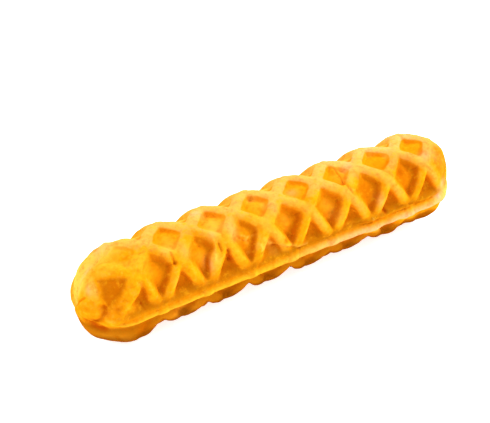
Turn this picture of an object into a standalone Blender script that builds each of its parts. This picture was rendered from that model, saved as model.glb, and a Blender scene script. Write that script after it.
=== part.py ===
"""Milk breadstick: one stick of bread baked in a two-part mould, lying on its lower half.

The stick is a stadium seen from above and a squarish oval in section. Both halves carry a lattice of
raised diagonal ribs with flat-floored pits between them, and a thin lip runs all round where the
halves of the mould met. Lengths are in millimetres until the mesh is made, which is in metres. +X runs
along the stick, +Z is up, and the stick rests on the flattened ribs of its underside at height zero.
"""

import math

import bmesh
import bpy
import numpy as np
from mathutils import Vector, noise

MM = 0.001

# Overall form. Heights are measured from the parting plane of the mould.
LENGTH = 150.0
HALF_WIDTH = 15.5
UPPER_HEIGHT = 17.0
LOWER_HEIGHT = 15.3
REST_CUT = 0.4            # taken off the lowest ribs, so that the stick lies on a flat
SQUARENESS = 2.6          # exponent of the superellipse of section and side view
END_LENGTH = 13.6         # how much of each end is rounded, seen from above

# The lip at the parting plane, thin at the left end and thick from the middle on, and the wall above
# it, which flares out to it. The wall below it is nearly straight.
LIP_OUT = 1.05
LIP_HALF_LEFT = 0.6
LIP_HALF_RIGHT = 1.25
LIP_GROWS = (-60.0, 20.0)     # x over which the lip thickens
LIP_SQUARE = 3.0              # exponent of the lip's profile
LIP_LOST = (-68.0, -62.0)     # x over which the near side's lip is lost at the left end
# How far below the parting plane the middle of the lip lies at these places along x.
LIP_X, LIP_DROP = (-60.0, -30.0, 25.0, 36.0, 60.0, 72.0), (0.0, 0.2, 0.45, 1.35, 1.15, 0.8)
FLARE_UPPER = 0.8
FLARE_LOWER = 0.1
FLARE_RISE = 2.4

# A shallow groove above the lip: depth, height above the parting plane, half width, and x over which
# it starts and ends.
GROOVE = 0.55
GROOVE_HEIGHT, GROOVE_HALF = 2.5, 0.6
GROOVE_STARTS, GROOVE_ENDS = (-5.0, 15.0), (62.0, 68.0)

# The lattice. Ribs cross on the crown line at whole pitches, on the flanks halfway between them, and
# they run down to the lip, where the ribs of both halves would meet.
PITCHES = 9
PITCH = LENGTH / PITCHES
CROSS_UPPER = 8.65        # distance of the flank crossings from the centre line, seen from above
CROSS_LOWER = 8.9
RIB_TOP = (1.4, 1.45, 1.35)    # from a rib's centre line to the edge of its top, at rows 0, 1 and 2
RIB_FOOT = (3.4, 3.75, 3.45)   # and to the floor of the pit
HALF_PITS_WIDER = (0.0, 0.8, 0.3)  # how much narrower the ribs are round the half pits above the lip
PIT_DEPTH_UPPER = (1.45, 2.9, 2.9)
PIT_DEPTH_LOWER = (1.9, 2.0, 2.0)
PITS_END_UPPER = (1.52, 1.84)  # lattice rows over which the pits run out above and below the lip
PITS_END_LOWER = (1.76, 1.93)
# Distances from the middle over which the lattice dies away, by half (upper 1) and end (right 1).
LATTICE_ENDS = {
    (1, -1): (66.0, 71.0),
    (1, 1): (68.5, 73.5),
    (-1, -1): (50.0, 62.0),
    (-1, 1): (66.0, 71.0),
}

# Pits that came out of the mould deeper or shallower: lattice column and row (near side negative).
PIT_EVENNESS = 0.12
UNEVEN_PITS = {(-7, 0): 0.45, (-8, -1): 0.12, (-6, -1): 1.15, (-8, 1): 0.2, (8, -1): 0.15}

# Unevenness of the dough, which fades out towards the lip.
SWELL = 0.3
SWELL_WAVELENGTH = 17.0
SWELL_CLEAR = 3.0

# Accidents of baking. Their places are given by x and by a place round the section: 0 is the crown
# line, 1 the upper flank crossings, 2 the parting plane, 3 the lower flank crossings and 4 the middle
# of the underside. The far side's places are negative.

# Hollows (-) and swellings (+): x, place round, reach along x, reach across, height.
SWELLINGS = (
    ("swelling of the left tip", -72.6, 1.5, 1.8, 3.4, 0.8),
    ("open seam at the left end", -71.0, 2.12, 1.9, 1.4, -1.9),
    ("crease beside the swelling", -69.5, 1.55, 1.1, 3.2, -1.0),
    ("upper half standing out at the left end", -63.5, 1.86, 5.5, 1.4, 0.6),
    ("lower half set back under it", -64.0, 2.14, 6.0, 1.5, -0.6),
    ("full lower side near the left end", -60.0, 2.7, 5.5, 6.0, 1.7),
    ("full left tip", -73.2, 2.1, 2.6, 7.0, 1.2),
    ("full lower side of the left tip", -72.5, 2.7, 3.5, 4.5, 1.3),
    ("flat far side at the left end", -60.5, -1.1, 5.0, 4.0, -1.0),
    ("flat far shoulder at the left end", -66.5, -0.7, 6.5, 6.5, -3.4),
    ("flat far shoulder at the right end", 67.0, -0.3, 3.5, 4.0, -0.8),
    ("full lower side of the right tip", 72.0, 2.3, 3.0, 4.0, 0.7),
    ("full lower side near the right end", 65.0, 2.4, 3.0, 4.0, 0.7),
)

# The hollow in the left end: the places (x, round) of its corners, its edges' half width and depth.
HOLLOW_CORNERS = ((-67.9, 0.60), (-59.9, 0.96), (-66.2, 1.40), (-68.4, 1.42))
HOLLOW_EDGE, HOLLOW_DEPTH = 1.2, 0.8

# Where the half pit at the left end lies further along: x, place round, reach along x, reach across,
# how far.
PUSHED = (-57.5, 1.3, 4.5, 4.0, 2.6)

# Places where the lattice's pits filled in: x, place round, reach along x, reach across, how much.
FILLED = (
    ("left corner of the first whole pit", -54.2, 1.12, 2.2, 5.0, 0.9),
    ("left half of the left end's pit", -71.6, 1.0, 3.2, 6.0, 1.0),
    ("foot of the left end's pit", -66.0, 1.62, 4.5, 2.6, 0.95),
    ("top of the left end's pit", -65.0, 0.42, 2.8, 2.0, 0.95),
    ("left of the first half pit", -61.8, 1.75, 2.4, 3.5, 0.95),
    ("lower pits towards the right end", 56.0, 2.9, 20.0, 9.0, 0.6),
    ("lower pit at -50", -50.0, 2.7, 3.5, 6.0, 0.6),
    ("lower pit at -33", -33.0, 2.7, 3.0, 6.0, 0.5),
    ("lower pit at 17", 17.0, 2.7, 3.5, 6.0, 0.8),
    ("lower pit at 33", 33.0, 2.7, 3.0, 6.0, 0.5),
    ("lower pit at 50", 50.0, 2.7, 3.5, 6.0, 0.9),
)

# The grid: steps in half a lattice cell, rows close to the lip, and sections round each end.
STEPS = 5
LIP_ROWS = (1.84, 1.90, 1.945, 1.972)
LAST_LATTICE_COLUMN = 8
END_SECTIONS = 9
ARC_SAMPLES = 600
CREASE_ANGLE = math.radians(60.0)

CRUST_COLOR = (0.90, 0.50, 0.10, 1.0)
CRUST_ROUGHNESS = 0.55


def smoothstep(low, high, value):
    """Zero below low, one above high, and smooth between."""
    part = min(max((value - low) / (high - low), 0.0), 1.0)
    return part * part * (3.0 - 2.0 * part)


def blend(start, end, part):
    return start + (end - start) * part


def bump(value, reach):
    """One at zero, falling smoothly to nothing past its reach."""
    return math.exp(-((value / reach) ** 2))


def by_row(values, row):
    """Reads three values, given for rows 0, 1 and 2, at any row between."""
    return float(np.interp(row, (0.0, 1.0, 2.0), values))


class Half:
    """One half of the section, from the crown line to the parting plane, read by lattice row.

    Row 0 is the crown line, row 1 the flank crossings and row 2 the parting plane.
    """

    def __init__(self, up, height, flare, cross, pit_depth, pits_end):
        wall = HALF_WIDTH - LIP_OUT - flare
        turn = np.linspace(0.0, math.pi / 2, ARC_SAMPLES)
        self.rise = height * np.cos(turn) ** (2 / SQUARENESS)
        self.rise[-1] = 0.0
        part = np.sin(turn) ** (2 / SQUARENESS)
        self.across = part * (wall + flare * np.exp(-self.rise / FLARE_RISE))
        steps = np.hypot(np.diff(self.across), np.diff(self.rise))
        self.arc = np.concatenate([[0.0], np.cumsum(steps)])
        self.rows_arc = (0.0, float(np.interp(cross, self.across, self.arc)), float(self.arc[-1]))
        self.up = up
        self.pit_depth = pit_depth
        self.pits_end = pits_end

    def arc_of_row(self, row):
        return by_row(self.rows_arc, row)

    def point(self, row):
        """Distance from the centre line and height above or below the parting plane."""
        arc = self.arc_of_row(row)
        return float(np.interp(arc, self.arc, self.across)), float(np.interp(arc, self.arc, self.rise))

    def rib_spacing(self, row):
        """Half the distance between neighbouring ribs of one family, measured square to them."""
        top, cross, parting = self.rows_arc
        tall = cross - top if row < 1.0 else parting - cross
        return (PITCH / 2) * tall / math.hypot(PITCH / 2, tall)


UPPER = Half(1, UPPER_HEIGHT, FLARE_UPPER, CROSS_UPPER, PIT_DEPTH_UPPER, PITS_END_UPPER)
LOWER = Half(-1, LOWER_HEIGHT, FLARE_LOWER, CROSS_LOWER, PIT_DEPTH_LOWER, PITS_END_LOWER)
TIP = LENGTH / 2 - LIP_OUT
STRAIGHT = TIP - END_LENGTH


def distance_round(place):
    """How far a place round the section lies from the crown line, in millimetres."""
    if abs(place) <= 2.0:
        distance = UPPER.arc_of_row(abs(place))
    else:
        distance = float(UPPER.arc[-1] + LOWER.arc[-1]) - LOWER.arc_of_row(4.0 - abs(place))
    return math.copysign(distance, place)


def patch(x, around, patch_x, place, reach_x, reach_across):
    """One at a place of the surface, falling smoothly to nothing past its reach."""
    return bump(x - patch_x, reach_x) * bump(around - distance_round(place), reach_across)


def hollow(x, around):
    """One in the hollow in the left end, falling to nothing past its edges."""
    corners = [(corner_x, distance_round(place)) for corner_x, place in HOLLOW_CORNERS]
    deep = math.inf
    for (x0, r0), (x1, r1) in zip(corners, corners[1:] + corners[:1]):
        length = math.hypot(x1 - x0, r1 - r0)
        deep = min(deep, ((around - r0) * (x1 - x0) - (x - x0) * (r1 - r0)) / length)
    return smoothstep(-HOLLOW_EDGE, HOLLOW_EDGE, deep)


def form_point(x, row, side, half):
    """A point of the smooth form, without lip or lattice."""
    into_end = min(max((abs(x) - STRAIGHT) / END_LENGTH, 0.0), 1.0)
    narrow = math.sqrt(1.0 - into_end ** 2)
    low = (1.0 - into_end ** SQUARENESS) ** (1 / SQUARENESS)
    across, rise = half.point(row)
    return Vector((x, side * across * narrow, half.up * rise * low))


def pit_fill(x, row, side, half):
    """Zero on the ribs and one on the floor of a pit of even depth."""
    column = x / (PITCH / 2)
    falling = math.floor((column - side * row) / 2)
    climbing = math.floor((column + side * row) / 2)
    pit = (falling + climbing + 1, climbing - falling)
    spacing = half.rib_spacing(row)
    top = by_row(RIB_TOP, row)
    foot = by_row(RIB_FOOT, row)
    if half.up > 0 and abs(pit[1]) == 2:
        top -= by_row(HALF_PITS_WIDER, row)
        foot -= by_row(HALF_PITS_WIDER, row)
    fill = 1.0
    for family in (column - row, column + row):
        off_line = abs((family + 1.0) % 2.0 - 1.0) * spacing
        fill *= smoothstep(top, foot, off_line)
    chance = noise.cell(Vector((*pit, half.up)))
    depth = 1.0 + PIT_EVENNESS * (2.0 * chance - 1.0)
    if half.up > 0:
        depth *= UNEVEN_PITS.get(pit, 1.0)
    return fill * depth


def lip_and_groove(x, side, height):
    """How far the lip stands out, less the groove above it."""
    lip_half = blend(LIP_HALF_LEFT, LIP_HALF_RIGHT, smoothstep(*LIP_GROWS, x))
    height += float(np.interp(x, LIP_X, LIP_DROP))
    lip = LIP_OUT * math.exp(-((abs(height) / lip_half) ** LIP_SQUARE))
    if side < 0:
        lip *= smoothstep(*LIP_LOST, x)
    along = smoothstep(*GROOVE_STARTS, x) * (1.0 - smoothstep(*GROOVE_ENDS, x))
    return lip - GROOVE * along * bump(height - GROOVE_HEIGHT, GROOVE_HALF)


def relief(x, row, side, half, at):
    """How far the surface stands out from the smooth form, whose point is at."""
    around = -side * distance_round(row if half.up > 0 else 4.0 - row)
    depth = by_row(half.pit_depth, row)
    depth *= 1.0 - smoothstep(*half.pits_end, row)
    depth *= 1.0 - smoothstep(*LATTICE_ENDS[half.up, -1 if x < 0 else 1], abs(x))
    for _, *place, amount in FILLED:
        depth *= 1.0 - amount * patch(x, around, *place)
    pushed = PUSHED[-1] * patch(x, around, *PUSHED[:-1])
    out = lip_and_groove(x, side, at.z) - depth * pit_fill(x - pushed, row, side, half)
    out -= HOLLOW_DEPTH * hollow(x, around)
    out += SWELL * noise.noise(at / SWELL_WAVELENGTH) * smoothstep(0.0, SWELL_CLEAR, abs(at.z))
    for _, *place, rise in SWELLINGS:
        out += rise * patch(x, around, *place)
    return out


def stations():
    """The places of the sections along x: even lattice steps, then closer ones round each end."""
    step = PITCH / 2 / STEPS
    last = LAST_LATTICE_COLUMN * STEPS
    middle = [i * step for i in range(-last, last + 1)]
    start = math.asin((middle[-1] - STRAIGHT) / END_LENGTH)
    turns = [blend(start, math.pi / 2, i / END_SECTIONS) for i in range(1, END_SECTIONS)]
    end = [STRAIGHT + END_LENGTH * math.sin(turn) for turn in turns]
    return [-x for x in reversed(end)] + middle + end


def half_rows():
    """Lattice rows from the crown line down to just short of the parting plane."""
    lattice = [i / STEPS for i in range(2 * STEPS)]
    return [row for row in lattice if row < LIP_ROWS[0]] + list(LIP_ROWS)


def section_places():
    """The places round a section as (row, side, half): crown line, near side, underside, far side."""
    rows = half_rows()
    near = [(row, -1, UPPER) for row in rows] + [(2.0, -1, UPPER)]
    near += [(row, -1, LOWER) for row in reversed(rows)]
    far = [(row, 1, LOWER) for row in rows[1:]] + [(2.0, 1, UPPER)]
    far += [(row, 1, UPPER) for row in reversed(rows[1:])]
    return near + far


def stick_mesh():
    """The whole surface: a grid of sections, closed by a point at each tip."""
    bm = bmesh.new()
    places = section_places()
    where = {}

    def add(x, row, side, half):
        vert = bm.verts.new(form_point(x, row, side, half))
        where[vert] = (x, row, side, half)
        return vert

    along = stations()
    sections = [[add(x, *place) for place in places] for x in along]
    tips = [add(sign * TIP, 2.0, -1, UPPER) for sign in (-1, 1)]

    count = len(places)
    for i in range(len(along) - 1):
        column = math.floor((along[i] + along[i + 1]) / PITCH)
        for j in range(count):
            k = (j + 1) % count
            a, b = sections[i][j], sections[i + 1][j]
            c, d = sections[i + 1][k], sections[i][k]
            row = math.floor((places[j][0] + places[k][0]) / 2)
            outward = places[j][0] < places[k][0]
            # The diagonal of each square runs the way the rib through it does.
            if ((column + row) % 2 == 0) == outward:
                bm.faces.new((a, c, b))
                bm.faces.new((a, d, c))
            else:
                bm.faces.new((a, d, b))
                bm.faces.new((b, d, c))
    for j in range(count):
        k = (j + 1) % count
        bm.faces.new((tips[0], sections[0][k], sections[0][j]))
        bm.faces.new((tips[1], sections[-1][j], sections[-1][k]))
    bmesh.ops.recalc_face_normals(bm, faces=bm.faces)
    bm.normal_update()

    for vert in bm.verts:
        vert.co += vert.normal * relief(*where[vert], vert.co)
    rest = LOWER_HEIGHT - REST_CUT
    middle_x, middle_y = (
        (min(vert.co[i] for vert in bm.verts) + max(vert.co[i] for vert in bm.verts)) / 2 for i in (0, 1)
    )
    for vert in bm.verts:
        x, y, z = vert.co
        vert.co = Vector((x - middle_x, y - middle_y, max(z, -rest) + rest)) * MM
    mesh = bpy.data.meshes.new("breadstick")
    bm.to_mesh(mesh)
    bm.free()
    return mesh


def crust_material():
    """Golden, lightly browned crust."""
    material = bpy.data.materials.new("golden_crust")
    material.use_nodes = True
    shader = material.node_tree.nodes["Principled BSDF"]
    shader.inputs["Base Color"].default_value = CRUST_COLOR
    shader.inputs["Roughness"].default_value = CRUST_ROUGHNESS
    shader.inputs["Metallic"].default_value = 0.0
    return material


def main():
    for old in list(bpy.data.objects):
        bpy.data.objects.remove(old, do_unlink=True)
    mesh = stick_mesh()
    mesh.materials.append(crust_material())
    mesh.shade_smooth()
    mesh.set_sharp_from_angle(angle=CREASE_ANGLE)
    stick = bpy.data.objects.new("breadstick", mesh)
    bpy.context.scene.collection.objects.link(stick)


main()
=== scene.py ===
"""Milk breadstick: the baked crust of one moulded stick, its colours, and the studio around it.

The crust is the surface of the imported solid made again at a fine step, from nearly the same
driving dimensions: a smooth form, the mould's lattice of ribs and pits pressed into it, the lip
where the two halves of the mould met, and the accidents of baking. Sizes are in millimetres until
the mesh is made, and in metres from there on.
"""

import math

import bpy
import numpy as np
from mathutils import Matrix, Vector, noise


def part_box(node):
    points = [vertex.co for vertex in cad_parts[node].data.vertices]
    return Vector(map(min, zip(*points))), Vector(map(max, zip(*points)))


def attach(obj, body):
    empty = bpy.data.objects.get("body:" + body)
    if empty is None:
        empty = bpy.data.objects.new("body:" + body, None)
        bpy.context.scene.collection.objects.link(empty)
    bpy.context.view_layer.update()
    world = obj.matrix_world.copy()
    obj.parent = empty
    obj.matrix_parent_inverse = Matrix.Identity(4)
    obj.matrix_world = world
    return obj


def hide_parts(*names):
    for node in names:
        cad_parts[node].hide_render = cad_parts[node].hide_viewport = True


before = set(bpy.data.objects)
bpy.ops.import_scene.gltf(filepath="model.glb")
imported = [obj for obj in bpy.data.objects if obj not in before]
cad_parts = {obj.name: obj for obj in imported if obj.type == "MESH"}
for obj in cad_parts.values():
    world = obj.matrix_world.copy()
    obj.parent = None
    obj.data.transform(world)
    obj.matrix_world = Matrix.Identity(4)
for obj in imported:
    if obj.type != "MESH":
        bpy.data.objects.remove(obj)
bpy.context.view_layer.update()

MM = 0.001
NODE = "breadstick"

# --------------------------------------------------
# Driving dimensions, close to the solid's. Heights are measured from the mould's parting plane.
# Values in threes are for lattice rows 0, 1 and 2: crown line, flank crossings, parting plane.

LENGTH = 150.0
HALF_WIDTH = 15.5
UPPER_HEIGHT = 17.0
LOWER_HEIGHT = 15.3
REST_CUT = 0.4            # how much of the lowest ribs is flattened, to rest on
SQUARENESS = 2.6          # exponent of the superellipse of section and side view
END_LENGTH = 13.6         # how much of each end is rounded, seen from above

# The lip at the parting plane, thin at the left end and thick from the middle on, and the wall
# above it, which flares out to it. The wall below it is nearly straight.
LIP_OUT = 1.05
LIP_HALF_LEFT = 0.4
LIP_HALF_RIGHT = 1.25
LIP_GROWS = (-60.0, 20.0)     # x over which the lip thickens
LIP_SQUARE = 3.0              # exponent of the lip's profile
LIP_LOST = (-68.0, -62.0)     # x over which the near side's lip is lost at the left end
# How far below the parting plane the middle of the lip lies at these places along x.
LIP_X = (-60.0, -30.0, 0.0, 5.5, 11.0, 15.0, 25.0, 36.0, 39.5, 43.0, 60.0, 72.0)
LIP_DROP = (0.0, -0.2, -0.15, -0.6, -0.15, -0.1, 0.4, 1.3, 1.8, 1.3, 1.2, 0.8)
FLARE_UPPER = 0.8
FLARE_LOWER = 0.1
FLARE_RISE = 2.4

# A shallow groove above the lip: depth, height above the parting plane, half width, and x over
# which it starts and ends.
GROOVE = 0.55
GROOVE_HEIGHT, GROOVE_HALF = 2.5, 0.6
GROOVE_STARTS, GROOVE_ENDS = (-5.0, 15.0), (62.0, 68.0)

# The lattice. Ribs cross on the crown line at whole pitches, and on the flanks halfway between.
PITCHES = 9
PITCH = LENGTH / PITCHES
CROSS_UPPER = 8.65        # distance of the flank crossings from the centre line, seen from above
CROSS_LOWER = 8.9
RIB_HALF = (2.4, 2.6, 2.4)    # half the width of a rib where its wall is halfway down
# How much narrower the ribs are round the half pits above the lip.
HALF_PITS_WIDER = (0.0, 0.8, 0.3)
WALL = 1.7                # width of a rib's wall, along the skin
CORNER = 0.4              # radius of the pits' inner corners
RIB_CROWN = 0.40          # how far a rib's middle stands above the edges of its top
PILLOW = 0.15             # how far the middle of a pit's floor rises
PIT_DEPTH_UPPER = (1.30, 2.9, 2.9)
PIT_DEPTH_LOWER = (1.9, 2.0, 2.0)
PITS_END_UPPER = (1.52, 1.84)  # lattice rows over which the pits run out above and below the lip
PITS_END_LOWER = (1.76, 1.93)
# Distances from the middle over which the lattice dies away, by half (upper 1) and end (right 1).
LATTICE_ENDS = {
    (1, -1): (66.0, 71.0),
    (1, 1): (68.5, 73.5),
    (-1, -1): (50.0, 62.0),
    (-1, 1): (66.0, 71.0),
}

# Pits that came out of the mould deeper or shallower: lattice column and row (near side negative).
PIT_EVENNESS = 0.12
UNEVEN_PITS = {(-7, 0): 0.45, (-8, -1): 0.12, (-6, -1): 1.15, (-8, 1): 0.2, (8, -1): 0.15}

# Unevenness of the dough, which fades out towards the lip.
SWELL = 0.3
SWELL_WAVELENGTH = 17.0
SWELL_CLEAR = 3.0

# Finer unevenness, as wavelength and height: how far the edges of ribs wander, the skin's relief,
# and how far the edges of cracks wander.
WANDER = ((7.0, 0.35), (2.2, 0.20))
SKIN = ((5.0, 0.12), (2.0, 0.08), (1.1, 0.05))
RAGGED = (1.5, 0.28)
WANDER_SEEDS, SKIN_SEED, BLOTCH_SEED, RAGGED_SEEDS = (1.0, 2.0), 3.0, 6.0, (8.0, 9.0)
SEED_STEP = (7.3, 3.1, 5.7)   # how far apart in the noise two seeds lie

# A flaky patch: x, place round, reach along x, reach across, how much rougher and how blotchy.
FLAKY = (-11.0, 1.35, 9.0, 4.0)
FLAKY_ROUGH, FLAKY_BLOTCHY, BLOTCH_WAVELENGTH = 3.5, 0.5, 2.0

# --------------------------------------------------
# Where the crust is browner or paler, as parts of one: some of it the crust's own colour, much of
# it painted shade and highlight.

# Painted shade: the walls above and to the right of each pit's floor are darkened as if lit from
# the upper right, and so are those below and to the right on the flanks. The shade is this wide
# along and across, this much of it past the middle of the wall, and there is this much of it by
# row. The upper walls turn from the crown's to the flanks' between two rows.
UPPER_WALL_CROWN, UPPER_WALL_FLANK, LOWER_WALL = (0.15, 0.75), (0.85, 0.8), (0.7, -0.6)
SHADE_PAST_WALL = 0.3
SHADE_UPPER_WALL, SHADE_LOWER_WALL = (0.05, 0.8, 0.9), (0.0, 0.7, 0.75)
FLANK_ROWS = (0.5, 0.7)
# Past these rows of the far side the pits are painted lighter, a pale gold as where light falls
# on them, and their walls get only this much painted shade.
FAR_ROWS, SHADE_FAR = (0.5, 0.9), 0.05
# Painted shade on the floors of the pits, by row, more of it down the flank where less light
# reaches; and how much paler their middles above the lip.
FLOOR_ROWS, FLOOR_SHADE = (0.4, 0.8, 1.15, 1.5), (0.0, 0.1, 0.15, 0.85)
PILLOW_PALENESS, PILLOW_ROWS = 0.12, (1.6, 1.8)
# Painted shade on the sides of the ribs, in the pits' amber, and the rows over which that starts.
RIB_SIDES_SHADE, SIDE_ROWS = 0.14, (0.5, 0.9)
# A painted highlight on the crests of the flank ribs that face the light comes in over this x,
# and ends over these rows.
CRESTS_LIT, CREST_ENDS = (-40.0, 30.0), (1.25, 1.75)
# A band of painted shade above the lip, where the steep wall gets less light, as height and half
# its width, x over which it starts, how much painted shade the groove in it gets, and how much of
# the painted shade the lip is spared.
SHELF_HEIGHT, SHELF_HALF = 3.2, 1.9
SHELF_STARTS = (-68.0, -60.0)
GROOVE_SHADE = 0.2
LIP_CLEAR = 0.7
# Painted shade on the lower half, which faces away from the light: it comes in below these
# heights at these places along x, over this many millimetres, and darkens towards the bottom
# between two heights, as painted shadow by the floor.
UNDER_X = (-68.0, -60.0, -52.0, 0.0, 5.5, 11.0, 20.0, 32.0, 38.0, 65.0)
UNDER_STARTS = (-1.0, -0.6, 0.2, -0.1, 0.4, -0.1, -0.3, -2.0, -3.6, -4.0)
UNDER_SOFT = 2.0
BOTTOM_DARK = (-5.0, -8.5)
# The painted shade in cracks and pores is darkest from this depth on.
FULLY_DARK = 0.8          # depth of the darkest cracks
TORN_PALENESS = 0.5       # how pale torn ridges are

# --------------------------------------------------
# Accidents of baking, and places of painted shade and highlight. Their places are given by x and
# by a place round the section: 0 is the crown line, 1 the upper flank crossings, 2 the parting
# plane, 3 the lower flank crossings and 4 the middle of the underside. The far side's places are
# negative. Whole pits lie on the flanks at whole pitches, crown pits and the half pits by the lip
# halfway between. Both are named by x. Rows: name, x, place round, reach along x, reach across,
# amount.

# Hollows (-) and swellings (+), in millimetres.
SWELLINGS = (
    ("dimple in the left tip", -73.2, 1.08, 0.8, 1.0, -0.9),
    ("full left tip", -73.2, 2.1, 2.6, 7.0, 1.2),
    ("swelling of the left tip", -72.6, 1.5, 1.8, 3.4, 0.8),
    ("full lower side of the left tip", -72.5, 2.7, 3.5, 4.5, 1.3),
    ("ridge beside the swelling", -70.6, 0.95, 0.8, 4.5, 0.3),
    ("crease beside the swelling", -69.5, 1.55, 1.0, 3.2, -1.25),
    ("flat far shoulder at the left end", -66.5, -0.7, 6.5, 6.5, -3.6),
    ("lower half set back under it", -64.0, 2.14, 6.0, 1.5, -0.6),
    ("upper half standing out at the left end", -63.5, 1.86, 5.5, 1.4, 0.6),
    ("flat far side at the left end", -60.5, -1.1, 5.0, 4.0, -1.0),
    ("full lower side near the left end", -60.0, 2.7, 5.5, 6.0, 1.7),
    ("far shoulder at -60", -59.6, -1.08, 1.6, 3.0, 1.2),
    ("far rib at -55", -55.2, -1.22, 2.4, 2.6, -1.3),
    ("full lower rib at -55", -55.0, 2.75, 2.2, 4.0, 0.5),
    ("full lower crossing at -33", -33.5, 2.8, 2.5, 4.0, 0.7),
    ("full lower crossing at -17", -16.5, 2.8, 2.5, 4.0, 0.7),
    ("full lower rib at 46", 46.0, 2.7, 2.5, 4.0, 0.7),
    ("low crown near the right end", 59.0, -0.45, 5.0, 3.0, -0.6),
    ("full lower side near the right end", 65.0, 2.4, 3.0, 4.0, 0.7),
    ("far shoulder at 66", 66.0, -0.75, 2.0, 3.0, -0.9),
    ("flat far shoulder at the right end", 71.0, -0.5, 3.0, 5.5, -1.6),
    ("full lower side of the right tip", 72.0, 2.3, 3.0, 4.0, 0.3),
)

# Where the lattice lies further along x, by so many millimetres.
PUSHED = (
    ("half pit at the left end", -57.5, 1.3, 4.5, 4.0, 2.6),
    ("right wall of the pit at -33", -30.5, 1.25, 2.5, 4.0, -2.0),
    ("right wall of the pit at -17", -13.0, 1.2, 2.5, 4.0, -1.2),
    ("right corner of the crown pit at 42", 46.0, 0.3, 3.0, 4.0, 1.6),
)

# Where pits filled in, by this part of their depth.
FILLED = (
    ("left half of the left end's pit", -71.6, 1.0, 3.2, 6.0, 1.0),
    ("far pit at the left end", -66.0, -1.1, 4.5, 6.0, 1.0),
    ("foot of the left end's pit", -66.0, 1.62, 4.5, 2.6, 0.95),
    ("top of the left end's pit", -65.0, 0.42, 2.8, 2.0, 0.95),
    ("left of the first half pit", -61.8, 1.75, 2.4, 3.5, 0.95),
    ("left corner of the first whole pit", -54.2, 1.12, 2.2, 5.0, 0.9),
    ("lower pit at -50", -50.0, 2.7, 3.5, 6.0, 0.6),
    ("lower pit at -33", -33.0, 2.7, 3.0, 6.0, 0.5),
    ("right corner of the pit at -33", -27.5, 1.1, 1.2, 3.0, 0.8),
    ("right corner of the pit at -17", -10.8, 1.05, 1.8, 4.0, 0.9),
    ("lower pit at 17", 17.0, 2.7, 3.5, 6.0, 0.8),
    ("far corner of the crown pit at 25", 27.0, -0.38, 3.0, 1.7, 0.8),
    ("lower half pit at 31", 31.2, 2.4, 2.5, 4.0, 0.6),
    ("lower pit at 33", 33.0, 2.7, 3.0, 6.0, 0.5),
    ("lower pit at 50", 50.0, 2.7, 3.5, 6.0, 0.9),
    ("lower pits towards the right end", 56.0, 2.9, 20.0, 9.0, 0.6),
    ("lower half pit at 58", 58.3, 2.3, 4.0, 4.0, 0.8),
    ("far pit at the right end", 66.7, -0.9, 4.0, 5.0, 0.9),
)

# The hollow in the left end: corners (x, round), half width of its edges, depth and brown.
HOLLOW_CORNERS = ((-68.6, 0.60), (-59.9, 0.96), (-66.6, 1.46), (-68.9, 1.60))
HOLLOW_EDGE, HOLLOW_DEPTH, HOLLOW_BROWN = 0.9, 0.6, 0.92
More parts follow.
